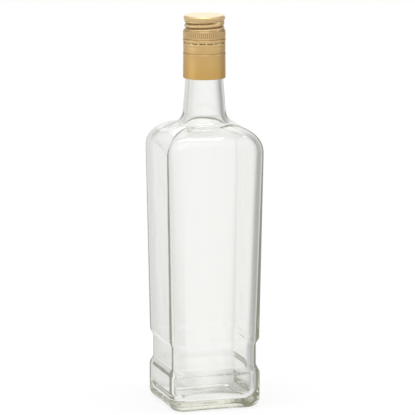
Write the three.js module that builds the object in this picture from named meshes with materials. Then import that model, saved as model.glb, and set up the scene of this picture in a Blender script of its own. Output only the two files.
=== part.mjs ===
// Square flint-glass spirit bottle with a roll-on aluminium screw closure.
// Millimetres, +Z up, the origin in the middle of the base on the plane it stands on.
// The wide face in view is -Y. Four pieces: bottle, tamper_band, cap and liner.
import * as THREE from "three";

// Bottle body: half widths of the square section, its corner radius, and the pressed-in waist.
const HALF_TOP = 36.15; // at TOP_Z
const TOP_Z = 186.0;
const HALF_BOTTOM = 33.8; // at the top of the waist
const HALF_BASE = 34.1; // below the waist
const CORNER_R = 9.15;
const CORNER_TOP_R = 9.6; // at TOP_Z
const WAIST_LOW = 26.2; // the waist's lower chamfer starts here
const WAIST_FROM = 31.1;
const WAIST_TO = 46.9;
const WAIST_HIGH = 50.9; // its upper chamfer ends here
const WAIST_DEPTH = 1.95;
const HEEL_WIDE = 7.4; // the rounded bottom edge, inwards
const HEEL_HIGH = 7.0; // and upwards
const BEARING = 4.2; // width of the flat ring it stands on
const PUSH_UP = 3.2; // the hollow in the base

// Shoulder and neck. A full curve leaves the wall at SHOULDER_FROM and ends at SHOULDER_R and
// SHOULDER_Z, with the slope SHOULDER_SLOPE. A hollow curve leads from there to the neck.
const SHOULDER_FROM = 192.4; // on the flats
const CORNER_DROP = 0.54; // how much lower on the corners, per mm that they reach further out
const WALL_PULL = 0.527; // share of the full curve's height that keeps close to the wall
const CORNER_PULL = 0.064; // more of it on the corners, per mm that they reach further out
const SHOULDER_R = 19.9;
const SHOULDER_Z = 207.85;
const SHOULDER_SLOPE = 0.45; // radians
const SLOPE_PULL = 0.1; // share of the full curve's width that keeps close to that slope
const HOLLOW_PULL = 1.0; // mm of the hollow curve that keep close to the slope
const NECK_PULL = 4.8; // and to the neck
const NECK_FROM = 216.0; // the neck's straight taper starts here
const NECK_TAPER = 0.08; // radius lost per mm further up
const LIP_Z = 283.4;

// Glass thickness.
const WALL_TOP = 3.3;
const WALL_BOTTOM = 4.4;
const WALL_SHOULDER = 3.6;
const WALL_NECK = 3.4;
const FLOOR_Z = 9.2; // inside floor at its edge
const FLOOR_RISE = 1.4; // the floor follows the push-up
const INNER_CORNER_R = 8.0;
const INNER_HEEL = 12.0;
const BORE_R = 9.25;

// Closure: one drawn aluminium shell, rolled onto the thread and slit all round.
const CAP_HEIGHT = 45.45; // both parts together
const CAP_R = 15.42; // lower rim of the band
const SHEET = 0.25;
const TOP_KNURL_IN = 0.5; // how far inside CAP_R each form lies
const TOP_ROUND = 1.6; // the top's edge curves down over this width
const TOP_KNURL = [1.3, 3.2]; // depths below the top
const TOP_VALLEY_IN = 1.3;
const TOP_VALLEY = 3.9;
const THREAD_CREST_IN = 1.0;
const THREAD_ZONE = [4.4, 10.2];
const GRIP_IN = 0.1;
const GRIP = [11.6, 16.0];
const GRIP_VALLEY_IN = 0.42;
const GRIP_VALLEY = 16.65;
const BEAD_OUT = 0.08;
const BEAD = 18.0;
const BEAD_HALF = 1.1; // half its height
const SLIT_IN = 0.3; // the sheet at the slits
const SKIRT_IN = 0.2; // the band just below the slits
const BAND_NOTCH = 26.9; // a narrow step above the band's bead
const BAND_BEAD = 28.05;
const BAND_LOW = 29.3; // the bead ends here
const FLUTES = 64;
const FLUTE_DEEP = 0.26;
const SLIT_DEPTH = 19.65; // middle of the slit line below the top
const SLIT_WIDE = 0.6;
const BRIDGES = 16;
const BRIDGE_WIDE = 1.35;

// Thread, on the glass and rolled into the shell.
const PITCH = 3.2;
const TURNS = 1.85;
const GROOVE_DEEP = 0.7;
const GROOVE_HALF = 1.1; // half the groove's height
const GROOVE_LOWER = 0.5; // its middle starts this far below the thread zone, on the slope to the grips
const THREAD_CLEAR = 0.25; // between glass thread and shell, and round the thread's root
const THREAD_HALF = 1.1; // half the glass thread's height at its root
const THREAD_ROWS = 13; // rows of points over the glass thread

// Liner and locking ring.
const LINER_T = 2.0;
const LINER_GAP = 0.2; // inside the flat top's edge
const RING_CLEAR = 0.3; // between the locking ring and the band
const RING_FROM = 21.6; // depths of the locking ring below the cap's top
const RING_TO = 25.6;

// Neck finish under the closure.
const NECK_IN = 1.82; // how far inside CAP_R the neck's surface meets the closure's rim
const NECK_STEP = 0.4; // the neck is that much thinner under the band
const NECK_STEP_UP = 5.0; // from this far above the rim

// What follows from these.
const TOP_KNURL_R = CAP_R - TOP_KNURL_IN;
const TOP_EDGE_R = TOP_KNURL_R - TOP_ROUND; // flat top, before the edge curves down
const TOP_VALLEY_R = CAP_R - TOP_VALLEY_IN;
const THREAD_CREST_R = CAP_R - THREAD_CREST_IN;
const GRIP_R = CAP_R - GRIP_IN;
const GRIP_VALLEY_R = CAP_R - GRIP_VALLEY_IN;
const BEAD_R = CAP_R + BEAD_OUT;
const SKIRT_R = CAP_R - SKIRT_IN;
const SLIT_R = CAP_R - SLIT_IN;
const LINER_R = TOP_EDGE_R - LINER_GAP;
const NECK_R = CAP_R - NECK_IN;
const CAP_TOP = LIP_Z + LINER_T + SHEET;
const LOCK_R = SKIRT_R - SHEET - RING_CLEAR;
const GLASS_THREAD_R = THREAD_CREST_R - SHEET - THREAD_CLEAR;
const ROOT_R = THREAD_CREST_R - GROOVE_DEEP - SHEET - THREAD_CLEAR - 0.1;
const NECK_TOP = CAP_TOP - CAP_HEIGHT;
const atDepth = (d) => CAP_TOP - d;
const lerp = THREE.MathUtils.lerp;
const smooth = THREE.MathUtils.smoothstep;
const V2 = (x, y) => new THREE.Vector2(x, y);

// Distance from the axis to a rounded square's outline, in direction phi.
function squareRadius(phi, half, corner) {
  const quarter = Math.PI / 2;
  const a = Math.abs((((phi + quarter / 2) % quarter) + quarter) % quarter - quarter / 2);
  const c = half - corner;
  const flat = half / Math.cos(a);
  if (flat * Math.sin(a) <= c) return flat;
  const b = c * (Math.cos(a) + Math.sin(a));
  return b + Math.sqrt(Math.max(b * b - (2 * c * c - corner * corner), 0));
}

// Directions of a ring's points: even over each flat, closer round each corner.
function squareDirections(flatSteps, cornerSteps) {
  const edge = Math.atan2(HALF_TOP - CORNER_R, HALF_TOP);
  const list = [];
  for (let side = 0; side < 4; side++) {
    const mid = (side * Math.PI) / 2;
    for (let i = 0; i < flatSteps; i++) list.push(mid - edge + (2 * edge * i) / flatSteps);
    const gap = Math.PI / 2 - 2 * edge;
    for (let i = 0; i < cornerSteps; i++) list.push(mid + edge + (gap * i) / cornerSteps);
  }
  return list;
}

// A closed surface through rings of points. Each ring runs anticlockwise seen from above; the
// rings go from the middle of the underside out, up the outside and down the inside.
// A ring of one point is a pole. Neighbouring rings may have different numbers of points.
function skin(rings, closed = false) {
  const flat = [];
  const starts = rings.map((ring) => {
    const at = flat.length / 3;
    for (const p of ring) flat.push(p.x, p.y, p.z);
    return at;
  });
  const faces = [];
  const pairs = closed ? rings.length : rings.length - 1;
  for (let k = 0; k < pairs; k++) {
    const m = (k + 1) % rings.length;
    const na = rings[k].length;
    const nb = rings[m].length;
    const a = (i) => starts[k] + (i % na);
    const b = (i) => starts[m] + (i % nb);
    if (nb === 1) for (let i = 0; i < na; i++) faces.push(a(i), a(i + 1), b(0));
    else if (na === 1) for (let i = 0; i < nb; i++) faces.push(a(0), b(i + 1), b(i));
    else {
      let i = 0;
      let j = 0;
      while (i < na || j < nb) {
        const takeA = j >= nb || (i < na && (i + 1) / na <= (j + 1) / nb + 1e-9);
        if (takeA) {
          faces.push(a(i), a(i + 1), b(j));
          i++;
        } else {
          faces.push(a(i), b(j + 1), b(j));
          j++;
        }
      }
    }
  }
  const geometry = new THREE.BufferGeometry();
  geometry.setAttribute("position", new THREE.Float32BufferAttribute(flat, 3));
  geometry.setIndex(faces);
  return geometry;
}

const point = (r, phi, z) => new THREE.Vector3(r * Math.cos(phi), r * Math.sin(phi), z);
const evenly = (n) => Array.from({ length: n }, (_, i) => (2 * Math.PI * i) / n);

// Turns profiles, one list of (radius, z) per direction, into rings.
function ringsOf(directions, profileAt) {
  const profiles = directions.map(profileAt);
  return profiles[0].map((first, k) => {
    if (first.x === 0) return [new THREE.Vector3(0, 0, first.y)];
    return directions.map((phi, i) => point(profiles[i][k].x, phi, profiles[i][k].y));
  });
}

// Section of the body from the top of the waist to the closure, in direction phi. inset gives how
// far it lies inside the outer surface at the waist, the wall, the shoulder and the neck.
function shoulderAndNeck(phi, inset, lowCorner, topCorner, steps) {
  const foot = V2(squareRadius(phi, HALF_BOTTOM - inset.foot, lowCorner), WAIST_HIGH);
  const half = HALF_TOP - inset.wall;
  const head = V2(squareRadius(phi, half, topCorner), TOP_Z);
  const further = head.x - half;
  const up = head.clone().sub(foot).divideScalar(TOP_Z - WAIST_HIGH);
  const leave = SHOULDER_FROM - CORNER_DROP * further;
  const wall = foot.clone().addScaledVector(up, leave - WAIST_HIGH);
  const down = V2(Math.cos(SHOULDER_SLOPE), -Math.sin(SHOULDER_SLOPE));
  const turn = V2(SHOULDER_R + down.y * inset.shoulder, SHOULDER_Z - down.x * inset.shoulder);
  const neckAt = (z) => V2(NECK_R - inset.neck + (NECK_TOP - z) * NECK_TAPER, z);
  const root = neckAt(NECK_FROM - inset.shoulder * 0.4);
  const along = neckAt(NECK_TOP).sub(neckAt(NECK_TOP - 1));
  const hold = WALL_PULL * (turn.y - leave) * (1 + CORNER_PULL * further);
  const full = new THREE.CubicBezierCurve(
    wall,
    wall.clone().addScaledVector(up, hold),
    turn.clone().addScaledVector(down, SLOPE_PULL * (wall.x - turn.x)),
    turn,
  );
  const hollow = new THREE.CubicBezierCurve(
    turn,
    turn.clone().addScaledVector(down, -HOLLOW_PULL - inset.neck * 0.5),
    root.clone().addScaledVector(along, -NECK_PULL - inset.neck * 0.3),
    root,
  );
  return [foot, ...full.getPoints(steps[0]), ...hollow.getPoints(steps[1]).slice(1), neckAt(NECK_TOP)];
}

// The bottle's outside: base, body, shoulder, neck, locking ring, thread and lip.
function outerProfile(phi) {
  const base = squareRadius(phi, HALF_BASE, CORNER_R);
  const stand = base - HEEL_WIDE;
  const hollow = stand - BEARING;
  const waist = squareRadius(phi, HALF_BOTTOM - WAIST_DEPTH, CORNER_R);
  const list = [V2(0, PUSH_UP), V2(hollow * 0.5, PUSH_UP * 0.78), V2(hollow * 0.84, PUSH_UP * 0.3)];
  list.push(V2(hollow, 0));
  for (let i = 0; i <= 4; i++) {
    const t = (i / 4) * (Math.PI / 2);
    list.push(V2(stand + HEEL_WIDE * Math.sin(t), HEEL_HIGH * (1 - Math.cos(t))));
  }
  list.push(V2(base, WAIST_LOW), V2(waist, WAIST_FROM), V2(waist, WAIST_TO));
  const none = { foot: 0, wall: 0, shoulder: 0, neck: 0 };
  list.push(...shoulderAndNeck(phi, none, CORNER_R, CORNER_TOP_R, [8, 4]));
  // Under the closure: a straight neck, the locking ring, the thread's root and the lip.
  const ringTop = atDepth(RING_FROM);
  const ringLow = atDepth(RING_TO);
  list.push(V2(NECK_R - NECK_STEP, NECK_TOP + NECK_STEP_UP), V2(NECK_R - NECK_STEP, ringLow - 0.8));
  list.push(V2(LOCK_R - 0.25, ringLow), V2(LOCK_R, ringLow + 0.7));
  list.push(V2(LOCK_R, ringTop - 1.4), V2(ROOT_R + 0.5, ringTop), V2(ROOT_R, ringTop + 0.8));
  const last = grooveDepth(0) + PITCH / 2 + THREAD_HALF;
  const first = grooveDepth(TURNS * 2 * Math.PI) + PITCH / 2 - THREAD_HALF;
  for (let k = 0; k <= THREAD_ROWS; k++) {
    const d = lerp(last, first, k / THREAD_ROWS);
    list.push(V2(lerp(ROOT_R, GLASS_THREAD_R, ribAt(phi, d)), atDepth(d)));
  }
  list.push(V2(ROOT_R - 0.35, LIP_Z - 0.35), V2(ROOT_R - 1.1, LIP_Z));
  return list;
}

// Its inside, from the mouth down to the middle of the floor.
function innerProfile(phi) {
  const list = [V2(BORE_R + 0.6, LIP_Z), V2(BORE_R, LIP_Z - 0.8), V2(BORE_R, atDepth(RING_TO))];
  const inset = { foot: WALL_BOTTOM, wall: WALL_TOP, shoulder: WALL_SHOULDER, neck: WALL_NECK };
  const inner = shoulderAndNeck(phi, inset, INNER_CORNER_R, INNER_CORNER_R, [7, 3]);
  list.push(...inner.reverse());
  const chamber = squareRadius(phi, HALF_BASE - WALL_BOTTOM, INNER_CORNER_R);
  const pressed = squareRadius(phi, HALF_BOTTOM - WALL_BOTTOM - WAIST_DEPTH * 0.6, INNER_CORNER_R);
  list.push(V2(pressed, WAIST_TO), V2(pressed, WAIST_FROM));
  for (let i = 0; i <= 4; i++) {
    const t = (1 - i / 4) * (Math.PI / 2);
    const r = chamber - INNER_HEEL * (1 - Math.sin(t));
    list.push(V2(r, FLOOR_Z + INNER_HEEL * (1 - Math.cos(t))));
  }
  const floorEdge = chamber - INNER_HEEL;
  list.push(V2(floorEdge * 0.5, FLOOR_Z + FLOOR_RISE * 0.7), V2(0, FLOOR_Z + FLOOR_RISE));
  return list;
}

// Height of the middle of the rolled groove below the top, after a turn of theta from its low end.
const GROOVE_LOW = THREAD_ZONE[1] + GROOVE_LOWER;
const grooveDepth = (theta) => GROOVE_LOW - (PITCH * theta) / (2 * Math.PI);

// Share of the groove's full depth at direction phi and depth d. It runs out softly at each end.
function grooveAt(phi, d) {
  let most = 0;
  for (let k = 0; k <= Math.ceil(TURNS); k++) {
    const theta = phi + 2 * Math.PI * k;
    if (theta > TURNS * 2 * Math.PI) continue;
    const off = Math.abs(d - grooveDepth(theta)) / GROOVE_HALF;
    if (off >= 1) continue;
    const ends = smooth(theta, 0, 0.6) * smooth(TURNS * 2 * Math.PI - theta, 0, 0.6);
    most = Math.max(most, ends * Math.cos((off * Math.PI) / 2) ** 2);
  }
  return most;
}

// Share of the glass thread's height: a rounded rib that winds half a pitch below the groove.
function ribAt(phi, d) {
  let most = 0;
  for (let k = 0; k <= Math.ceil(TURNS); k++) {
    const theta = phi + 2 * Math.PI * k;
    if (theta > TURNS * 2 * Math.PI) continue;
    const off = Math.abs(d - grooveDepth(theta) - PITCH / 2) / THREAD_HALF;
    if (off >= 1) continue;
    const ends = smooth(theta, 0, 0.6) * smooth(TURNS * 2 * Math.PI - theta, 0, 0.6);
    most = Math.max(most, ends * Math.min(1, 1.6 * (1 - off)));
  }
  return most;
}

// The screw part of the shell, above the slits.
function capShell() {
  const plain = evenly(FLUTES);
  const fine = evenly(FLUTES * 2);
  const ring = (dirs, r, d) => dirs.map((phi, i) => point(typeof r === "function" ? r(phi, i) : r, phi, atDepth(d)));
  const flutes = (r) => (phi, i) => (i % 2 ? r - FLUTE_DEEP : r);
  const low = SLIT_DEPTH - SLIT_WIDE / 2;
  const threadRows = [];
  const rows = 8;
  for (let k = 0; k <= rows; k++) threadRows.push(lerp(THREAD_ZONE[0], THREAD_ZONE[1], k / rows));
  const threadR = (d) => (phi) => THREAD_CREST_R - GROOVE_DEEP * grooveAt(phi, d);

  const inside = [
    [new THREE.Vector3(0, 0, atDepth(SHEET))],
    ring(plain, TOP_EDGE_R, SHEET),
    ring(plain, TOP_KNURL_R - FLUTE_DEEP - SHEET, TOP_KNURL[0]),
    ring(plain, TOP_KNURL_R - FLUTE_DEEP - SHEET, TOP_KNURL[1]),
    ring(plain, TOP_VALLEY_R - SHEET, TOP_VALLEY),
    ...threadRows.map((d) => ring(plain, (phi) => threadR(d)(phi) - SHEET, d)),
    ring(plain, GRIP_R - FLUTE_DEEP - SHEET, GRIP[0]),
    ring(plain, GRIP_R - FLUTE_DEEP - SHEET, GRIP[1]),
    ring(plain, GRIP_VALLEY_R - SHEET, GRIP_VALLEY),
    ring(plain, BEAD_R - SHEET, BEAD),
    ring(plain, SLIT_R + 0.04 - SHEET, BEAD + BEAD_HALF),
    ring(plain, SLIT_R - SHEET, low),
  ];
  const outside = [
    ring(plain, SLIT_R, low),
    ring(plain, SLIT_R + 0.04, BEAD + BEAD_HALF),
    ring(plain, BEAD_R, BEAD + 0.25),
    ring(plain, BEAD_R, BEAD - 0.25),
    ring(plain, GRIP_VALLEY_R, GRIP_VALLEY),
    ring(plain, GRIP_R - FLUTE_DEEP * 0.7, GRIP[1] + 0.35),
    ring(fine, flutes(GRIP_R), GRIP[1]),
    ring(fine, flutes(GRIP_R), GRIP[0] + 0.35),
    ring(plain, GRIP_R - FLUTE_DEEP * 0.5, GRIP[0]),
    ...threadRows.slice().reverse().map((d) => ring(plain, threadR(d), d)),
    ring(plain, TOP_VALLEY_R, TOP_VALLEY),
    ring(plain, TOP_KNURL_R - FLUTE_DEEP * 0.7, TOP_KNURL[1] + 0.12),
    ring(fine, flutes(TOP_KNURL_R), TOP_KNURL[1] - 0.15),
    ring(fine, flutes(TOP_KNURL_R), TOP_KNURL[0] + 0.15),
    ring(plain, lerp(TOP_EDGE_R, TOP_KNURL_R, 0.86), TOP_KNURL[0] * 0.62),
    ring(plain, lerp(TOP_EDGE_R, TOP_KNURL_R, 0.5), TOP_KNURL[0] * 0.2),
    ring(plain, TOP_EDGE_R, 0),
    [new THREE.Vector3(0, 0, atDepth(0))],
  ];
  return skin([...inside, ...outside]);
}

// The tamper band below the slits, with the small bridges that held it to the cap.
function bandShell() {
  const step = (2 * Math.PI) / BRIDGES;
  const half = BRIDGE_WIDE / 2 / SKIRT_R;
  const slope = 0.12 / SKIRT_R;
  const dirs = [];
  const raised = [];
  for (let k = 0; k < BRIDGES; k++) {
    const mid = (k + 0.5) * step;
    dirs.push(mid - half - slope, mid - half, mid + half, mid + half + slope);
    raised.push(false, true, true, false);
  }
  const high = SLIT_DEPTH - SLIT_WIDE / 2;
  const low = SLIT_DEPTH + SLIT_WIDE / 2;
  const ring = (r, d) => dirs.map((phi) => point(r, phi, atDepth(d)));
  const top = (r) => dirs.map((phi, i) => point(r, phi, atDepth(raised[i] ? high : low)));
  const rows = [
    [SLIT_R, low + 0.3],
    [SKIRT_R, low + 0.9],
    [SKIRT_R - 0.06, BAND_NOTCH],
    [BEAD_R, BAND_BEAD],
    [SKIRT_R + 0.06, BAND_LOW],
    [CAP_R, CAP_HEIGHT],
  ];
  const inside = rows.map(([r, d]) => ring(r - SHEET, d));
  const outside = rows.map(([r, d]) => ring(r, d)).reverse();
  return skin([top(SLIT_R - SHEET), ...inside, ...outside, top(SLIT_R)], true);
}

// The pieces.
const bottleGlass = skin([
  ...ringsOf(squareDirections(7, 5), outerProfile),
  ...ringsOf(squareDirections(6, 4), innerProfile),
]);

const liner = new THREE.LatheGeometry(
  [V2(0, 0), V2(LINER_R, 0), V2(LINER_R, LINER_T), V2(0, LINER_T)],
  48,
);
liner.rotateX(Math.PI / 2);

const glass = new THREE.MeshStandardMaterial({ color: 0xdde2d8, roughness: 0.05, metalness: 0 });
const gold = new THREE.MeshStandardMaterial({ color: 0xc9a870, roughness: 0.35, metalness: 1 });
const foam = new THREE.MeshStandardMaterial({ color: 0xf0efe9, roughness: 0.85, metalness: 0 });

function piece(name, geometry, material) {
  const mesh = new THREE.Mesh(geometry, material);
  mesh.name = name;
  return mesh;
}

const bottle = piece("bottle", bottleGlass, glass);
const band = piece("tamper_band", bandShell(), gold);
const cap = piece("cap", capShell(), gold);
const wad = piece("liner", liner, foam);
wad.position.z = LIP_Z;

const group = new THREE.Group();
group.add(bottle, band, cap, wad);

export default group;
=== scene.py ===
# %% [markdown]
# # A square spirit bottle with a gold screw cap
# This notebook dresses the measured model of a clear-glass bottle in Blender. The measured model gives
# each piece its place and its motion. Here every piece gets a smooth surface and a finish: glass with a
# real wall, gold-lacquered aluminium with rolled grips and a thread, and the slit band below it.

import math

import bpy
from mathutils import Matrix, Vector


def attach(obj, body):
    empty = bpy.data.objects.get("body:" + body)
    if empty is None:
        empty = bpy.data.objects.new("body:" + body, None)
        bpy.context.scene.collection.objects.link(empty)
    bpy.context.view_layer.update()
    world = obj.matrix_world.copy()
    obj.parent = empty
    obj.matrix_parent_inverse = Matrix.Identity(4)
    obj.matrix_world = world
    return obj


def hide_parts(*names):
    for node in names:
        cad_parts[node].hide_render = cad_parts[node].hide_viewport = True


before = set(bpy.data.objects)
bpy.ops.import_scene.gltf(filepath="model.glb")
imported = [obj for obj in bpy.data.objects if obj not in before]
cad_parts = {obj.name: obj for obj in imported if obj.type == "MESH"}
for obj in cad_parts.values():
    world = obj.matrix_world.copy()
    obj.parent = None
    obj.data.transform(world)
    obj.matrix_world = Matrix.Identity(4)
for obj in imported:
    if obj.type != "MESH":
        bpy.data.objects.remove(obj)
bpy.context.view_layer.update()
scene = bpy.context.scene
scene.view_settings.view_transform = "Standard"
print("nodes:", sorted(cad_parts))

# %% [markdown]
# ## Camera
# The photograph was taken from far away with a long lens, so the bottle's sides stay almost parallel.
# The place of the camera comes from fitting the bottle's outline: it stands 17 degrees to the left of the
# front face and looks down by about 10.5 degrees. A small shift puts the bottle where the picture has it.

# %% Camera
MM = 0.001


def camera_at(azimuth, elevation, distance, aim_height):
    """A place at a compass angle round the bottle; azimuth 0 looks along +Y."""
    a, e = math.radians(azimuth), math.radians(elevation)
    off = Vector((math.sin(a) * math.cos(e), -math.cos(a) * math.cos(e), math.sin(e))) * distance
    return Vector((0, 0, aim_height)) + off, -off


camera = bpy.data.objects.new("camera", bpy.data.cameras.new("camera"))
scene.collection.objects.link(camera)
camera.location, looking = camera_at(-17.095, 10.568, 2.6927, 0.145)
camera.rotation_euler = looking.to_track_quat("-Z", "Y").to_euler()
camera.data.sensor_width = 36.0
camera.data.lens = 321.2
camera.data.shift_x = 0.0077
camera.data.shift_y = -0.0021
camera.data.clip_end = 50.0
scene.camera = camera
print("camera", [round(v, 3) for v in camera.location], "lens", camera.data.lens)

# %% [markdown]
# ## A small helper for finishes
# A finish in Blender is a net of nodes. Written one node at a time it is hard to read, so `Wire` wraps one
# socket and lets ordinary sums build the Math nodes: `1 - wear * 0.5` is a formula and a net in one.
# Colours and vectors are kept away from Math nodes, because those would turn a colour grey.


# %% Wire: sums on sockets
class Wire:
    """One output socket of a node tree, with arithmetic."""

    def __init__(self, tree, socket=None):
        self.tree, self.socket = tree, socket

    def node(self, kind, settings=None, out=0, values=(), **inputs):
        """Adds any node: its settings first, then the values or wires of its sockets."""
        made = self.tree.nodes.new(kind)
        for name, value in (settings or {}).items():
            if name == "stops":
                ramp = made.color_ramp.elements
                while len(ramp) < len(value):
                    ramp.new(0.5)
                for stop, (at, colour) in zip(ramp, value):
                    stop.position = at
                    stop.color = (*colour, 1.0) if len(colour) == 3 else colour
            else:
                setattr(made, name, value)
        for key, value in [*enumerate(values), *inputs.items()]:
            socket = made.inputs[key if isinstance(key, int) else key.replace("_", " ")]
            if isinstance(value, Wire):
                self.tree.links.new(value.socket, socket)
            elif value is not None:
                socket.default_value = value
        return Wire(self.tree, made.outputs[out]) if len(made.outputs) else made

    def also(self, out):
        """Another output of the same node."""
        return Wire(self.tree, self.socket.node.outputs[out])

    def sum(self, operation, *values, clamp=False):
        return self.node("ShaderNodeMath", {"operation": operation, "use_clamp": clamp}, values=values)

    def __add__(self, other):
        return self.sum("ADD", self, other)

    def __sub__(self, other):
        return self.sum("SUBTRACT", self, other)

    def __rsub__(self, other):
        return self.sum("SUBTRACT", other, self)

    def __mul__(self, other):
        return self.sum("MULTIPLY", self, other)

    def __truediv__(self, other):
        return self.sum("DIVIDE", self, other)

    def __gt__(self, other):
        return self.sum("GREATER_THAN", self, other)

    def __lt__(self, other):
        return self.sum("LESS_THAN", self, other)

    __radd__, __rmul__ = __add__, __mul__

    def ramp(self, low, high):
        """0 below low, 1 above high, smooth between."""
        return self.node(
            "ShaderNodeMapRange",
            {"interpolation_type": "SMOOTHSTEP"},
            values=[self, low, high, 0.0, 1.0],
        )

    def tint(self, first, second):
        """A colour between two, by this wire."""
        mix = self.node("ShaderNodeMix", {"data_type": "RGBA"}, out=2, values=[self])
        for socket, value in zip(mix.socket.node.inputs[6:8], (first, second)):
            if isinstance(value, Wire):
                self.tree.links.new(value.socket, socket)
            else:
                socket.default_value = (*value, 1.0)
        return mix


print("sums on sockets ready")


# %% Finish helpers
def new_finish(name):
    """An empty material and a Wire to add its nodes with."""
    material = bpy.data.materials.new(name)
    material.use_nodes = True
    material.node_tree.nodes.clear()
    return material, Wire(material.node_tree)


def place(wire):
    """Object coordinates in millimetres, as x, y and z wires."""
    at = wire.node("ShaderNodeTexCoord", out="Object")
    mm = wire.node("ShaderNodeVectorMath", {"operation": "SCALE"}, values=[at], Scale=1000.0)
    split = wire.node("ShaderNodeSeparateXYZ", values=[mm])
    return mm, split, split.also(1), split.also(2)


def srgb(red, green, blue):
    """The linear colour of a picture's 0 to 255 values."""
    return tuple(
        ((v / 255 + 0.055) / 1.055) ** 2.4 if v > 10 else v / 255 / 12.92 for v in (red, green, blue)
    )


print("helpers ready")

# %% [markdown]
# ## Studio
# The bottle stands on a white floor in front of white. Clear glass shows nothing of its own: its shape is
# drawn by what it bends into view. A photographer stands grey boards beside the white, so that edges come
# out as darker lines. Here one table gives how bright the studio is at each compass angle: white behind
# the bottle, grey to the right and to the left of that. Only reflections and bent rays meet it. The same
# table serves the world above the horizon and the floor below it.

# %% Studio tones
TONES = [
    (0, 0.42), (28, 0.42), (46, 0.56), (58, 0.80), (66, 0.93), (73, 0.95), (80, 0.90),
    (87, 0.78), (98, 0.78), (105, 0.84), (111, 0.7), (117, 0.6), (123, 0.68), (135, 0.82),
    (155, 0.92), (185, 0.95), (262, 0.95), (284, 1.0), (300, 0.96), (318, 0.88), (340, 0.72),
    (352, 0.52), (360, 0.42),
]


def studio_tone(wire, toward_x, toward_y):
    """How bright the studio is in a direction, from the table."""
    compass = wire.sum("ARCTAN2", toward_y, toward_x) * (0.5 / math.pi)
    compass = wire.sum("WRAP", compass, 1.0, 0.0)
    stops = [(angle / 360, (tone,) * 3) for angle, tone in TONES]
    return wire.node("ShaderNodeValToRGB", {"stops": stops}, values=[compass])


def watched_rays(wire):
    """Light Path masks: camera rays, and rays that glass or metal sends on."""
    seen = wire.node("ShaderNodeLightPath", out="Is Camera Ray")
    return seen, wire.sum("MAXIMUM", seen.also("Is Glossy Ray"), seen.also("Is Transmission Ray"))


print("tones in the table:", len(TONES))

# %% World
OVERHEAD_GAIN, PLAIN_LEVEL = 0.3, 0.72
world = bpy.data.worlds.new("studio")
scene.world = world
world.use_nodes = True
world.node_tree.nodes.clear()
air = Wire(world.node_tree)
direction = air.node("ShaderNodeTexCoord", out="Generated")
east = air.node("ShaderNodeSeparateXYZ", values=[direction])
north, up = east.also(1), east.also(2)
seen, through = watched_rays(air)
tone = studio_tone(air, east, north)
overhead = up.ramp(0.35, 0.75) * OVERHEAD_GAIN + 1.0
level = air.sum("MAXIMUM", seen, through * tone * overhead)
plain = (1.0 - air.sum("MAXIMUM", seen, through)) * PLAIN_LEVEL
background = air.node("ShaderNodeBackground", values=[(1.0, 1.0, 1.0, 1.0), level + plain])
air.node("ShaderNodeOutputWorld", values=[background])
print("world ready")


# %% [markdown]
# ## Lamps
# Soft boxes draw the bright shapes on metal and glass: the one above gives the white arch on the shoulder,
# the others the soft light on the closure. A small lamp would leave hard dots. Behind glass a box would
# show as a bright square, so rays that the glass bends don't see any of them.

# %% Lamps
def softbox(name, azimuth, elevation, distance, wide, high, power):
    """A rectangular lamp that faces the bottle's middle."""
    lamp = bpy.data.lights.new(name, "AREA")
    lamp.shape, lamp.size, lamp.size_y, lamp.energy = "RECTANGLE", wide, high, power
    made = bpy.data.objects.new(name, lamp)
    made.location, facing = camera_at(azimuth, elevation, distance, 0.15)
    made.rotation_euler = facing.to_track_quat("-Z", "Y").to_euler()
    made.visible_transmission = False
    scene.collection.objects.link(made)
    return made


softbox("left_box", -88, 18, 1.3, 0.9, 1.2, 1.8)
softbox("top_box", -14, 85, 1.4, 1.0, 0.22, 7.0)
softbox("front_box", -20, 50, 1.5, 1.2, 0.9, 4.0)
softbox("back_box", 163, 24, 1.5, 1.2, 0.3, 0.7)
softbox("right_box", 72, 20, 1.5, 0.7, 1.0, 2.0)

# %% [markdown]
# ## Floor
# The bottle stands on white paper. The camera sees it plain white away from the bottle. Close by, a share
# of the real paper stays in the mix, so that the bottle keeps its shadow. Bent rays see the studio's tones.

# %% Floor
SHADOW_FROM, SHADOW_TO, SHADOW_SHARE = 40.0, 330.0, 0.16
floor_mesh = bpy.data.meshes.new("floor")
floor_mesh.from_pydata([(-8, -8, 0), (8, -8, 0), (8, 8, 0), (-8, 8, 0)], [], [(0, 1, 2, 3)])
floor = bpy.data.objects.new("floor", floor_mesh)
scene.collection.objects.link(floor)
paper, w = new_finish("white_paper")
mm, x, y, z = place(w)
away = w.node("ShaderNodeVectorMath", {"operation": "LENGTH"}, out="Value", values=[mm])
seen, through = watched_rays(w)
sheet = w.node("ShaderNodeBsdfDiffuse", Color=(0.93, 0.93, 0.93, 1.0))
tone = studio_tone(w, x, y)
glow = w.node("ShaderNodeEmission", Color=through.tint((1.0, 1.0, 1.0), tone), Strength=1.0)
plain_white = away.ramp(SHADOW_FROM, SHADOW_TO) * SHADOW_SHARE + (1 - SHADOW_SHARE)
far = w.sum("MAXIMUM", seen, through) * plain_white
mixed = w.node("ShaderNodeMixShader", values=[far, sheet, glow])
w.node("ShaderNodeOutputMaterial", values=[mixed])
floor_mesh.materials.append(paper)
print("floor ready")

# %% [markdown]
# ## Surfaces from rings
# Every piece here is blown, drawn or rolled, so its surface is a stack of closed rings: square rings on
# the body that turn round towards the neck, round rings with small waves on the closure. One helper joins
# neighbouring rings with quads. It is quicker and smoother than boxes with many modifiers, because each
# point sits exactly where a formula puts it.


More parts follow.
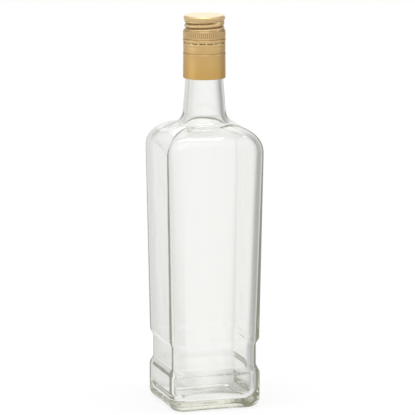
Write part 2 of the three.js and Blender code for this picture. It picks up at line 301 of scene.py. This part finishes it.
# %% Rings to a surface
def ring_surface(name, rings, closed=False):
    """Joins rings of (x, y, z) points in mm. A ring of one point closes the surface to a tip."""
    points, starts = [], []
    for ring in rings:
        starts.append(len(points))
        points += [(px * MM, py * MM, pz * MM) for px, py, pz in ring]
    faces = []
    count = len(rings)
    for k in range(count if closed else count - 1):
        m = (k + 1) % count
        na, nb, sa, sb = len(rings[k]), len(rings[m]), starts[k], starts[m]
        n = max(na, nb)
        for i in range(n):
            j = (i + 1) % n
            if na == 1:
                faces.append((sa, sb + j, sb + i))
            elif nb == 1:
                faces.append((sa + i, sa + j, sb))
            else:
                faces.append((sa + i, sa + j, sb + j, sb + i))
    mesh = bpy.data.meshes.new(name)
    mesh.from_pydata(points, [], faces)
    mesh.polygons.foreach_set("use_smooth", [True] * len(faces))
    made = bpy.data.objects.new(name, mesh)
    scene.collection.objects.link(made)
    return made


def circle(angles, radii, height):
    """A ring of points at one height, each with its own radius."""
    return [(r * math.cos(a), r * math.sin(a), height) for a, r in zip(angles, radii)]


def around(count):
    """Even angles round the axis."""
    return [2 * math.pi * i / count for i in range(count)]


def smoothstep(value, low, high):
    """0 below low, 1 above high, smooth between, on plain numbers."""
    t = min(max((value - low) / (high - low), 0.0), 1.0)
    return t * t * (3 - 2 * t)


print("ring helper ready")

# %% [markdown]
# ## The bottle's glass
# The bottle is one piece of glass with an outside and an inside, and both matter: light bends at each.
# The outside follows the measured model, only finer. The section is a rounded square that widens a
# little to the shoulder; along each direction from the axis a profile runs up the wall, round the
# shoulder, round the fillet and up the neck. The inside is the same kind of profile with a wall's
# thickness taken off, softer in its corners, as blown glass is. Under the closure stand the locking ring
# and the glass thread, which come to light when the cap is off.

# %% Bottle sizes in millimetres
HALF_TOP, TOP_Z, HALF_BOTTOM, HALF_BASE = 36.15, 186.0, 33.8, 34.1
CORNER_R, CORNER_TOP_R = 9.15, 9.6
WAIST_LOW, WAIST_FROM, WAIST_TO, WAIST_HIGH, WAIST_DEPTH = 26.2, 31.1, 46.9, 50.9, 1.95
HEEL_WIDE, HEEL_HIGH, BEARING, PUSH_UP = 7.4, 7.0, 4.2, 3.2
SHOULDER_FROM, CORNER_DROP, WALL_PULL, CORNER_PULL = 192.4, 0.54, 0.527, 0.064
SHOULDER_R, SHOULDER_Z, SHOULDER_SLOPE, SLOPE_PULL = 19.9, 207.85, 0.45, 0.1
HOLLOW_PULL, NECK_PULL, NECK_FROM, NECK_TAPER = 1.0, 4.8, 216.0, 0.08
NECK_R, LIP_Z = 13.6, 283.4
WALL_TOP, WALL_BOTTOM, WALL_SHOULDER, WALL_NECK = 3.3, 4.4, 3.6, 3.4
FLOOR_Z, FLOOR_RISE, INNER_LOW_R, INNER_TOP_R, INNER_HEEL, BORE_R = 6.8, 1.4, 7.0, 7.6, 7.0, 9.25
CAP_TOP, CAP_HEIGHT = 285.65, 45.45
NECK_TOP = CAP_TOP - CAP_HEIGHT
LOCK_R, ROOT_R = 14.67, 13.07
RING_FROM, RING_TO = CAP_TOP - 21.6, CAP_TOP - 25.6
PITCH, TURNS, GROOVE_LOW = 3.2, 1.85, 10.7
THREAD_R, THREAD_HALF = 13.92, 1.1
WAIST_ROUND, WAIST_INSIDE = 4.0, 0.6
OUTER_STEPS, INNER_STEPS = (36, 16, 8), (32, 16, 8)
NO_WALL, WALLS = (0, 0, 0, 0), (WALL_BOTTOM, WALL_TOP, WALL_SHOULDER, WALL_NECK)
print("shoulder", 2 * HALF_TOP, "mm wide, lip at", LIP_Z, "mm")


# %% Rounded squares, corners and curves
def square_radius(phi, half, corner):
    """Distance from the axis to a rounded square's outline."""
    quarter = math.pi / 2
    a = abs((phi + quarter / 2) % quarter - quarter / 2)
    c = half - corner
    flat = half / math.cos(a)
    if flat * math.sin(a) <= c:
        return flat
    b = c * (math.cos(a) + math.sin(a))
    return b + math.sqrt(max(b * b - (2 * c * c - corner * corner), 0))


def half_angle(a, p, b):
    """Half of the angle at p between a and b."""
    return math.acos(max(-1, min(1, (a - p).normalized().dot((b - p).normalized())))) / 2


def round_corner(a, p, b, radius, steps):
    """The corner at p between a and b as an arc."""
    a, p, b = Vector(a), Vector(p), Vector(b)
    u, v = (a - p).normalized(), (b - p).normalized()
    half = half_angle(a, p, b)
    centre = p + (u + v).normalized() * (radius / math.sin(half))
    start = p + u * (radius / math.tan(half)) - centre
    stop = p + v * (radius / math.tan(half)) - centre
    turn = math.pi - 2 * half
    arc = []
    for i in range(steps + 1):
        t = i / steps
        arc.append(centre + (start * math.sin((1 - t) * turn) + stop * math.sin(t * turn)) / math.sin(turn))
    return [tuple(q) for q in arc]


def curve(p0, p1, p2, p3, steps):
    """A cubic curve between two points, held by two others, as steps + 1 points."""
    found = []
    for i in range(steps + 1):
        t = i / steps
        u = 1 - t
        found.append(tuple(p0 * u**3 + p1 * (3 * t * u * u) + p2 * (3 * t * t * u) + p3 * t**3))
    return found


print("half width at the foot:", square_radius(0.0, HALF_BOTTOM, CORNER_R), "mm")


# %% Shoulder and neck
def shoulder_and_neck(phi, inset, corners, steps):
    """From the foot of the wall up to the top of the free neck, in one direction."""
    at_foot, at_wall, at_shoulder, at_neck = inset
    half = HALF_TOP - at_wall
    foot = Vector((square_radius(phi, HALF_BOTTOM - at_foot, corners[0]), WAIST_HIGH))
    head = Vector((square_radius(phi, half, corners[1]), TOP_Z))
    further = head.x - half
    up = (head - foot) / (TOP_Z - WAIST_HIGH)
    leave = SHOULDER_FROM - CORNER_DROP * further
    wall = foot + up * (leave - WAIST_HIGH)
    down = Vector((math.cos(SHOULDER_SLOPE), -math.sin(SHOULDER_SLOPE)))
    turn = Vector((SHOULDER_R + down.y * at_shoulder, SHOULDER_Z - down.x * at_shoulder))
    root_z = NECK_FROM - at_shoulder * 0.4
    root = Vector((NECK_R - at_neck + (NECK_TOP - root_z) * NECK_TAPER, root_z))
    top = Vector((NECK_R - at_neck, NECK_TOP))
    along = Vector((-NECK_TAPER, 1.0))
    hold = WALL_PULL * (turn.y - leave) * (1 + CORNER_PULL * further)
    full = curve(wall, wall + up * hold, turn + down * (SLOPE_PULL * (wall.x - turn.x)), turn, steps[0])
    from_slope = turn - down * (HOLLOW_PULL + at_neck * 0.5)
    to_neck = root - along * (NECK_PULL + at_neck * 0.3)
    hollow = curve(turn, from_slope, to_neck, root, steps[1])
    straight = [tuple(foot.lerp(wall, i / steps[2])) for i in range(steps[2])]
    neck = [tuple(root.lerp(top, i / 5)) for i in range(1, 6)]
    return straight + full + hollow[1:] + neck


flat_side = shoulder_and_neck(0.0, NO_WALL, (CORNER_R, CORNER_TOP_R), OUTER_STEPS)
print("points up the shoulder:", len(flat_side))


# %% Directions, rounding and the waist
def directions(flat_steps, corner_steps):
    """Angles round the bottle, closer at the corners."""
    edge = math.atan2(HALF_TOP - CORNER_R, HALF_TOP)
    gap = math.pi / 2 - 2 * edge
    found = []
    for side in range(4):
        mid = side * math.pi / 2
        found += [mid - edge + 2 * edge * i / flat_steps for i in range(flat_steps)]
        found += [mid + edge + gap * i / corner_steps for i in range(corner_steps)]
    return found


def rounded(profile, at, radius, steps):
    """The profile with the corner at one point rounded."""
    a, p, b = (Vector(profile[i]) for i in (at - 1, at, at + 1))
    room = min((a - p).length, (b - p).length) * 0.48
    radius = min(radius, room * math.tan(half_angle(a, p, b)))
    return profile[:at] + round_corner(a, p, b, radius, steps) + profile[at + 1 :]


def waist_profile(base, waist, foot, low, high):
    """The wall from the heel to the foot of the upper wall, with the pressed-in waist."""
    points = [(base, low), (base, WAIST_LOW), (waist, WAIST_FROM), (waist, WAIST_TO)]
    points += [(foot, WAIST_HIGH), (foot + 0.02, high)]
    for at in (4, 3, 2, 1):
        points = rounded(points, at, WAIST_ROUND, 5)
    return points[:-1]


angles = directions(28, 24)
print("directions round the bottle:", len(angles))


# %% Thread
def winding(phi, depth, lowest, half):
    """Share of the height of a rounded thread that winds up from its lowest depth below the top."""
    most = 0.0
    for k in range(3):
        theta = phi + 2 * math.pi * k
        if theta > TURNS * 2 * math.pi:
            break
        off = abs(depth - (lowest - PITCH * theta / (2 * math.pi))) / half
        if off < 1:
            ends = smoothstep(theta, 0, 0.6) * smoothstep(TURNS * 2 * math.pi - theta, 0, 0.6)
            most = max(most, ends * math.cos(off * math.pi / 2) ** 2)
    return most


def glass_thread(phi):
    """The glass thread's rows, half a pitch below the rolled groove."""
    lowest = GROOVE_LOW + PITCH / 2
    first, last, rows = lowest + THREAD_HALF, lowest - PITCH * TURNS - THREAD_HALF, 45
    found = []
    for k in range(rows + 1):
        depth = first + (last - first) * k / rows
        share = winding(phi % (2 * math.pi), depth, lowest, THREAD_HALF)
        found.append((ROOT_R + (THREAD_R - ROOT_R) * share, CAP_TOP - depth))
    return found


print("rows over the glass thread:", len(glass_thread(0.0)))


# %% The glass outside
def outer_profile(phi):
    """From the middle of the base, round the heel and up to the lip, in one direction."""
    base = square_radius(phi, HALF_BASE, CORNER_R)
    waist = square_radius(phi, HALF_BOTTOM - WAIST_DEPTH, CORNER_R)
    foot = square_radius(phi, HALF_BOTTOM, CORNER_R)
    stand = base - HEEL_WIDE
    hollow = stand - BEARING
    points = [(0.0, PUSH_UP)]
    points += [(hollow * t, PUSH_UP * (1 - t**3)) for t in (0.2, 0.4, 0.55, 0.7, 0.8, 0.9, 0.96)]
    points += [(hollow, 0.0), (hollow + BEARING / 2, 0.0)]
    for i in range(13):
        t = i / 12 * math.pi / 2
        points.append((stand + HEEL_WIDE * math.sin(t), HEEL_HIGH * (1 - math.cos(t))))
    points += waist_profile(base, waist, foot, HEEL_HIGH + 3, WAIST_HIGH + 5)
    points += shoulder_and_neck(phi, NO_WALL, (CORNER_R, CORNER_TOP_R), OUTER_STEPS)[1:]
    points += [(NECK_R - 0.4, NECK_TOP + 3), (NECK_R - 0.4, RING_TO - 0.8)]
    points += [(LOCK_R - 0.25, RING_TO), (LOCK_R, RING_TO + 0.7)]
    points += [(LOCK_R, RING_FROM - 1.4), (ROOT_R + 0.5, RING_FROM), (ROOT_R, RING_FROM + 0.8)]
    points += glass_thread(phi) + [(ROOT_R, LIP_Z - 1.2)]
    points += [(ROOT_R - 0.2, LIP_Z - 0.5), (ROOT_R - 0.6, LIP_Z - 0.12), (ROOT_R - 1.1, LIP_Z)]
    return points


print("points up the outside:", len(outer_profile(0.0)))


# %% The glass inside
def inner_profile(phi):
    """From the lip down the bore and the chamber to the middle of its floor."""
    points = [(BORE_R + 0.6, LIP_Z), (BORE_R + 0.2, LIP_Z - 0.2), (BORE_R, LIP_Z - 0.8), (BORE_R, RING_TO)]
    upper = shoulder_and_neck(phi, WALLS, (INNER_LOW_R, INNER_TOP_R), INNER_STEPS)
    chamber = square_radius(phi, HALF_BASE - WALL_BOTTOM, INNER_LOW_R)
    waist = square_radius(phi, HALF_BOTTOM - WALL_BOTTOM - WAIST_DEPTH * WAIST_INSIDE, INNER_LOW_R)
    foot = upper[0][0]
    points += upper[:0:-1]
    points += waist_profile(chamber, waist, foot, FLOOR_Z + INNER_HEEL + 1, WAIST_HIGH + 5)[::-1]
    for i in range(15):
        t = (1 - i / 14) * math.pi / 2
        points.append((chamber - INNER_HEEL * (1 - math.sin(t)), FLOOR_Z + INNER_HEEL * (1 - math.cos(t))))
    edge = chamber - INNER_HEEL
    points += [(edge * t, FLOOR_Z + FLOOR_RISE * (1 - t * t)) for t in (0.8, 0.6, 0.4, 0.2)]
    points.append((0.0, FLOOR_Z + FLOOR_RISE))
    return points


print("points down the inside:", len(inner_profile(0.0)))


# %% Make the glass
def turned(angles, profile_at):
    """Rings from one profile per direction."""
    profiles = [profile_at(phi) for phi in angles]
    rings = []
    for k in range(len(profiles[0])):
        if profiles[0][k][0] == 0.0:
            rings.append([(0.0, 0.0, profiles[0][k][1])])
        else:
            spots = [(a, *p[k]) for a, p in zip(angles, profiles)]
            rings.append([(r * math.cos(a), r * math.sin(a), height) for a, r, height in spots])
    return rings


glass_body = ring_surface("glass_body", turned(angles, outer_profile) + turned(angles, inner_profile))
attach(glass_body, "bottle")
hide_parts("bottle")
print("glass:", len(glass_body.data.polygons), "faces")

# %% [markdown]
# ## Glass as a finish
# Flint glass is clear with a very faint olive tint that only shows where it is thick, at the base and
# along the edges. A tint on the surface would colour thin and thick glass alike, so the colour is put in
# the volume instead. The surface gets a weak, wide waviness, as moulded glass has, and fine stippling at
# the edge it stands on.
#
# Light that meets a face of thick glass at a low angle is reflected back inside, again and again. The
# renderer gives such a ray up after a few turns, which shows black. The real thing looks olive grey, so
# Light Path counts the turns and mixes in an olive-grey glow after the last good one: painted light in
# place of what the further reflections would bring.

# %% Glass finish
flint, w = new_finish("flint_glass")
mm, x, y, z = place(w)
drawn = w.node("ShaderNodeVectorMath", {"operation": "MULTIPLY"}, values=[mm, (1.0, 1.0, 0.12)])
wave = w.node("ShaderNodeTexNoise", values=[mm], Scale=0.035, Detail=1.0)
streak = w.node("ShaderNodeTexNoise", values=[drawn], Scale=0.055, Detail=1.0)
stipple = w.node("ShaderNodeTexVoronoi", values=[mm], Scale=0.62)
at_base = 1.0 - z.ramp(2.2, 4.2)
height = wave + streak * 0.2 + (0.6 - stipple) * at_base * 0.5
bump = w.node("ShaderNodeBump", Strength=0.15, Distance=0.0015, Height=height)
surface = w.node(
    "ShaderNodeBsdfPrincipled", Base_Color=(0.985, 0.99, 0.98, 1.0), Roughness=0.0, IOR=1.52,
    Transmission_Weight=1.0, Normal=bump,
)
inside = w.node("ShaderNodeVolumeAbsorption", Color=(0.84, 0.83, 0.70, 1.0), Density=13.0)
LAST_TURN, LAST_REFLECTION = 8.0, 2.5
turns = w.node("ShaderNodeLightPath", out="Ray Depth")
caught = w.sum("MAXIMUM", turns > LAST_TURN, turns.also("Glossy Depth") > LAST_REFLECTION)
# Painted light: a fixed olive-grey glow for rays given up inside the glass.
grey = w.node("ShaderNodeEmission", Color=(0.29, 0.29, 0.235, 1.0), Strength=1.0)
surface = w.node("ShaderNodeMixShader", values=[caught, surface, grey])
w.node("ShaderNodeOutputMaterial", Surface=surface, Volume=inside)
glass_body.data.materials.append(flint)
print("glass finish ready")

# %% [markdown]
# ## The closure
# The shell is drawn from thin aluminium sheet and lacquered gold. A machine rolls the thread onto the
# glass's own thread, and the grips and beads are rolled in before. The surface is a height over the
# closure's side: each feature adds or takes away a fraction of a millimetre from a plain sleeve. Pairs
# of a depth below the top and a radius give the sleeve, and two formulas add the thread and the ribs.

# %% Closure sizes and shape
SHEET = 0.25
GROOVE_DEEP, GROOVE_HALF = 1.0, 1.1
FLUTES, FLUTE_DEEP = 64, 0.34
TOP_GRIP, SIDE_GRIP = (1.2, 1.7, 2.9, 3.4), (11.3, 11.8, 15.7, 16.1)
SLIT_FROM, SLIT_TO, SLIT_R, BRIDGES, BRIDGE_WIDE = 19.35, 19.95, 15.12, 16, 1.35


def groove(phi, depth):
    """Share of the rolled thread's depth at a direction and a depth below the top."""
    return winding(phi, depth, GROOVE_LOW, GROOVE_HALF)


CAP_LINE = [
    (0.0, 13.2), (0.05, 13.5), (0.15, 13.8), (0.35, 14.12), (0.65, 14.43), (1.0, 14.66), (1.4, 14.83),
    (1.9, 14.92), (2.8, 14.92), (3.05, 14.86), (3.3, 14.7), (3.55, 14.42), (3.75, 14.2), (3.95, 14.12),
    (4.2, 14.16), (4.5, 14.32), (4.8, 14.42), (9.5, 14.42), (10.2, 14.55), (10.8, 14.8), (11.2, 15.05),
    (11.5, 15.22), (11.8, 15.32), (16.0, 15.32), (16.3, 15.22), (16.5, 15.06), (16.65, 15.0), (16.8, 15.06),
    (17.0, 15.2), (17.3, 15.38), (17.7, 15.48), (18.05, 15.5), (18.4, 15.46), (18.8, 15.3), (19.1, 15.16),
    (SLIT_FROM, SLIT_R),
]


def on_line(line, depth):
    """The radius at a depth, between two pairs of a line."""
    for (d0, r0), (d1, r1) in zip(line, line[1:]):
        if d0 <= depth <= d1:
            t = (depth - d0) / (d1 - d0)
            return r0 + (r1 - r0) * t
    return line[-1][1]


def flute(phi):
    """0 on the crest of a grip, 1 in its valley."""
    return 0.5 - 0.5 * math.cos(FLUTES * phi)


def gripped(depth, start, full, fade, stop):
    """1 where the ribs are full, smooth down to 0 at start and at stop."""
    return smoothstep(depth, start, full) * (1 - smoothstep(depth, fade, stop))


def cap_radius(phi, depth):
    """The cap's outside: the sleeve, less the rolled thread, less the ribs' valleys."""
    r = on_line(CAP_LINE, depth)
    r -= GROOVE_DEEP * groove(phi, depth)
    grip = max(gripped(depth, *TOP_GRIP), gripped(depth, *SIDE_GRIP))
    return r - FLUTE_DEEP * grip * flute(phi)


print("closure lines ready")


# %% The cap
def shell(name, radius_at, depths, angles, top):
    """A thin sheet over a height field, with a flat top when asked."""

    def level(radius, height):
        return circle(angles, [radius] * len(angles), height)

    rings = []
    if top:
        rings.append([(0, 0, CAP_TOP - SHEET)])
        rings += [level(r, CAP_TOP - SHEET) for r in (6.0, 13.0)]
    for d in depths[(2 if top else 0):]:
        rings.append(circle(angles, [radius_at(a, d) - SHEET for a in angles], CAP_TOP - d))
    for d in depths[::-1]:
        rings.append(circle(angles, [radius_at(a, d) for a in angles], CAP_TOP - d))
    if top:
        rings += [level(r, CAP_TOP) for r in (13.0, 12.0, 6.0)]
        rings.append([(0, 0, CAP_TOP)])
    return ring_surface(name, rings, closed=not top)


cap_angles = around(512)
cap_depths = [0.0, 0.05, 0.15, 0.25, 0.35, 0.5, 0.65, 0.8, 1.0] + [1.2 + 0.15 * i for i in range(18)]
cap_depths += [3.9 + 0.18 * i for i in range(41)]
cap_depths += [11.3, 11.45, 11.6, 11.75, 11.9, 12.5, 13.5, 14.5, 15.4, 15.6, 15.75, 15.9, 16.05]
cap_depths += [16.15 + 0.12 * i for i in range(26)] + [19.25, SLIT_FROM]
screw_cap = shell("screw_cap", cap_radius, cap_depths, cap_angles, True)
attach(screw_cap, "cap")
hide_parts("cap")
print("cap:", len(screw_cap.data.polygons), "faces")

# %% [markdown]
# ## The tamper band
# Below the slits the same sheet goes on as the tamper band. Sixteen small bridges join it to the cap until
# the cap is first turned. It is a piece of its own, because it stays on the neck. Its upper edge steps up
# at each bridge, so its rings have points where the steps are.

# %% Band
BAND_LINE = [
    (SLIT_FROM, SLIT_R), (SLIT_TO, SLIT_R), (20.2, 15.2), (20.6, 15.28), (21.0, 15.32), (21.4, 15.28),
    (21.9, 15.2), (22.4, 15.16), (23.2, 15.2), (26.3, 15.23), (26.6, 15.2), (26.85, 15.14), (27.05, 15.14),
    (27.3, 15.24),
    (27.7, 15.42), (28.05, 15.5), (28.45, 15.44), (28.9, 15.33), (29.4, 15.28), (45.0, 15.42), (45.25, 15.41),
    (45.45, 15.34),
]


def band_shell():
    """The sheet below the slits, with a bridge up to the cap at every step round."""
    step = 2 * math.pi / BRIDGES
    half, slope = BRIDGE_WIDE / 2 / SLIT_R, 0.12 / SLIT_R
    angles, raised = [], []
    for k in range(BRIDGES):
        mid = (k + 0.5) * step
        left, right = mid - half - slope, mid + half + slope
        for i in range(8):
            angles.append(k * step + (left - k * step) * i / 8)
            raised.append(False)
        angles += [left, left + slope, mid, right - slope, right]
        raised += [False, True, True, True, False]
        for i in range(1, 8):
            angles.append(right + ((k + 1) * step - right) * i / 8)
            raised.append(False)
    depths = [20.05, 20.2, 20.4, 20.6, 20.8, 21.0, 21.2, 21.4, 21.65, 21.9, 22.4, 22.8, 23.2]
    depths += [26.3, 26.45, 26.6, 26.75, 26.85, 26.95, 27.05, 27.2, 27.3, 27.5, 27.7, 27.9, 28.05]
    depths += [28.25, 28.45, 28.7, 28.9, 29.15, 29.4, 35, 40, 45.0, 45.25, 45.45]

    def ring(inset, d):
        return circle(angles, [on_line(BAND_LINE, d) - inset] * len(angles), CAP_TOP - d)

    def rim(inset):
        found = []
        for a, high in zip(angles, raised):
            r = SLIT_R - inset
            found.append((r * math.cos(a), r * math.sin(a), CAP_TOP - (SLIT_FROM if high else SLIT_TO)))
        return found

    rings = [rim(SHEET)] + [ring(SHEET, d) for d in depths] + [ring(0, d) for d in depths[::-1]] + [rim(0)]
    return ring_surface("slit_band", rings, closed=True)


slit_band = band_shell()
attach(slit_band, "bottle")
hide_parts("tamper_band")
print("band:", len(slit_band.data.polygons), "faces")

# %% [markdown]
# ## Gold lacquer
# The shell is aluminium under satin gold lacquer: partly mirror, partly plain colour. Its colour is painted
# a little paler towards the top, a painted light for the brighter reflection there. The rolled thread, the
# ribs, the slope above the side grip and the two rings are so fine that light alone would hardly draw them,
# so masks by radius and depth darken them with painted shade, and another paints the flat lid pale, a
# painted reflection of the bright studio behind. The masks are measured on the piece itself, and go with
# it when the cap is unscrewed.

# %% Masks on a turned piece
def within(wire, start, full, fade, stop):
    """1 from full to fade, smooth down to 0 at start and at stop."""
    return wire.ramp(start, full) * (1.0 - wire.ramp(fade, stop))


def near(wire, middle, full, stop):
    """1 up to full away from a middle, smooth down to 0 at stop."""
    return 1.0 - wire.sum("ABSOLUTE", wire - middle).ramp(full, stop)


def highest(first, *others):
    """The greatest of several wires."""
    for other in others:
        first = first.sum("MAXIMUM", first, other)
    return first


print("masks ready")

# %% Gold finish
LOW_GOLD, TOP_LIT_GOLD = srgb(198, 159, 88), srgb(213, 186, 140)
# A darker gold for painted shade in the grooves, and a pale gold for the lid's painted reflection.
PAINTED_SHADE_GOLD, LID_REFLECTION_GOLD = srgb(128, 98, 56), srgb(240, 219, 184)
gold, w = new_finish("gold_lacquer")
mm, x, y, z = place(w)
fine = w.node("ShaderNodeTexNoise", values=[mm], Scale=1.2, Detail=3.0)
broad = w.node("ShaderNodeTexNoise", values=[mm], Scale=0.12, Detail=2.0)
# Painted light: the gold is painted paler towards the top, for the brighter reflection there; broad noise
# adds random tone.
painted_top_light = z.ramp(238.0, 292.0)
lacquer_and_top_light = (painted_top_light + broad * 0.15).tint(LOW_GOLD, TOP_LIT_GOLD)
bump = w.node("ShaderNodeBump", Strength=0.05, Distance=0.0002, Height=fine)
depth = CAP_TOP - z
radius = w.sum("SQRT", x * x + y * y)
# Painted shade: these masks darken the rolled thread, the valleys of both grips, the slope above the side
# grip and the two rings.
thread_shade = (1.0 - radius.ramp(13.5, 14.35)) * within(depth, 3.3, 3.6, 10.9, 11.3) * 0.8
grip_valley_shade = (1.0 - radius.ramp(15.0, 15.3)) * within(depth, 11.4, 11.8, 15.7, 16.0) * 0.6
top_valley_shade = (1.0 - radius.ramp(14.56, 14.88)) * within(depth, 1.5, 1.8, 2.8, 3.0) * 0.4
slope = near(depth, 10.7, 0.5, 1.2) * 0.55
ring = near(depth, 16.85, 0.2, 0.8) * 0.65
notch_shade = near(depth, 27.15, 0.2, 0.8) * 0.5
shade = highest(thread_shade, grip_valley_shade, top_valley_shade, slope, ring, notch_shade)
# Painted reflection: the flat lid is painted pale, for the bright studio it mirrors at a low angle.
lid_reflection = (1.0 - depth.ramp(0.1, 0.5)) * 0.85
colour = lid_reflection.tint(shade.tint(lacquer_and_top_light, PAINTED_SHADE_GOLD), LID_REFLECTION_GOLD)
surface = w.node(
    "ShaderNodeBsdfPrincipled", Base_Color=colour, Metallic=0.7, Roughness=fine * 0.05 + 0.33, Normal=bump,
)
w.node("ShaderNodeOutputMaterial", Surface=surface)
for piece in (screw_cap, slit_band):
    piece.data.materials.append(gold)
print("gold ready")

# %% [markdown]
# ## Liner
# A disc of white foam sits in the cap and seals on the lip. It shows only when the cap is off, so the
# measured disc stays as it is and gets a finish with fine cells.

# %% Liner
foam, w = new_finish("white_foam")
mm, x, y, z = place(w)
cells = w.node("ShaderNodeTexVoronoi", values=[mm], Scale=2.2)
bump = w.node("ShaderNodeBump", Strength=0.3, Distance=0.0001, Height=cells)
surface = w.node(
    "ShaderNodeBsdfPrincipled", Base_Color=(0.86, 0.85, 0.81, 1.0), Roughness=cells * 0.1 + 0.7, Normal=bump,
)
w.node("ShaderNodeOutputMaterial", Surface=surface)
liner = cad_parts["liner"]
liner.data.materials.clear()
liner.data.materials.append(foam)
print("liner ready")
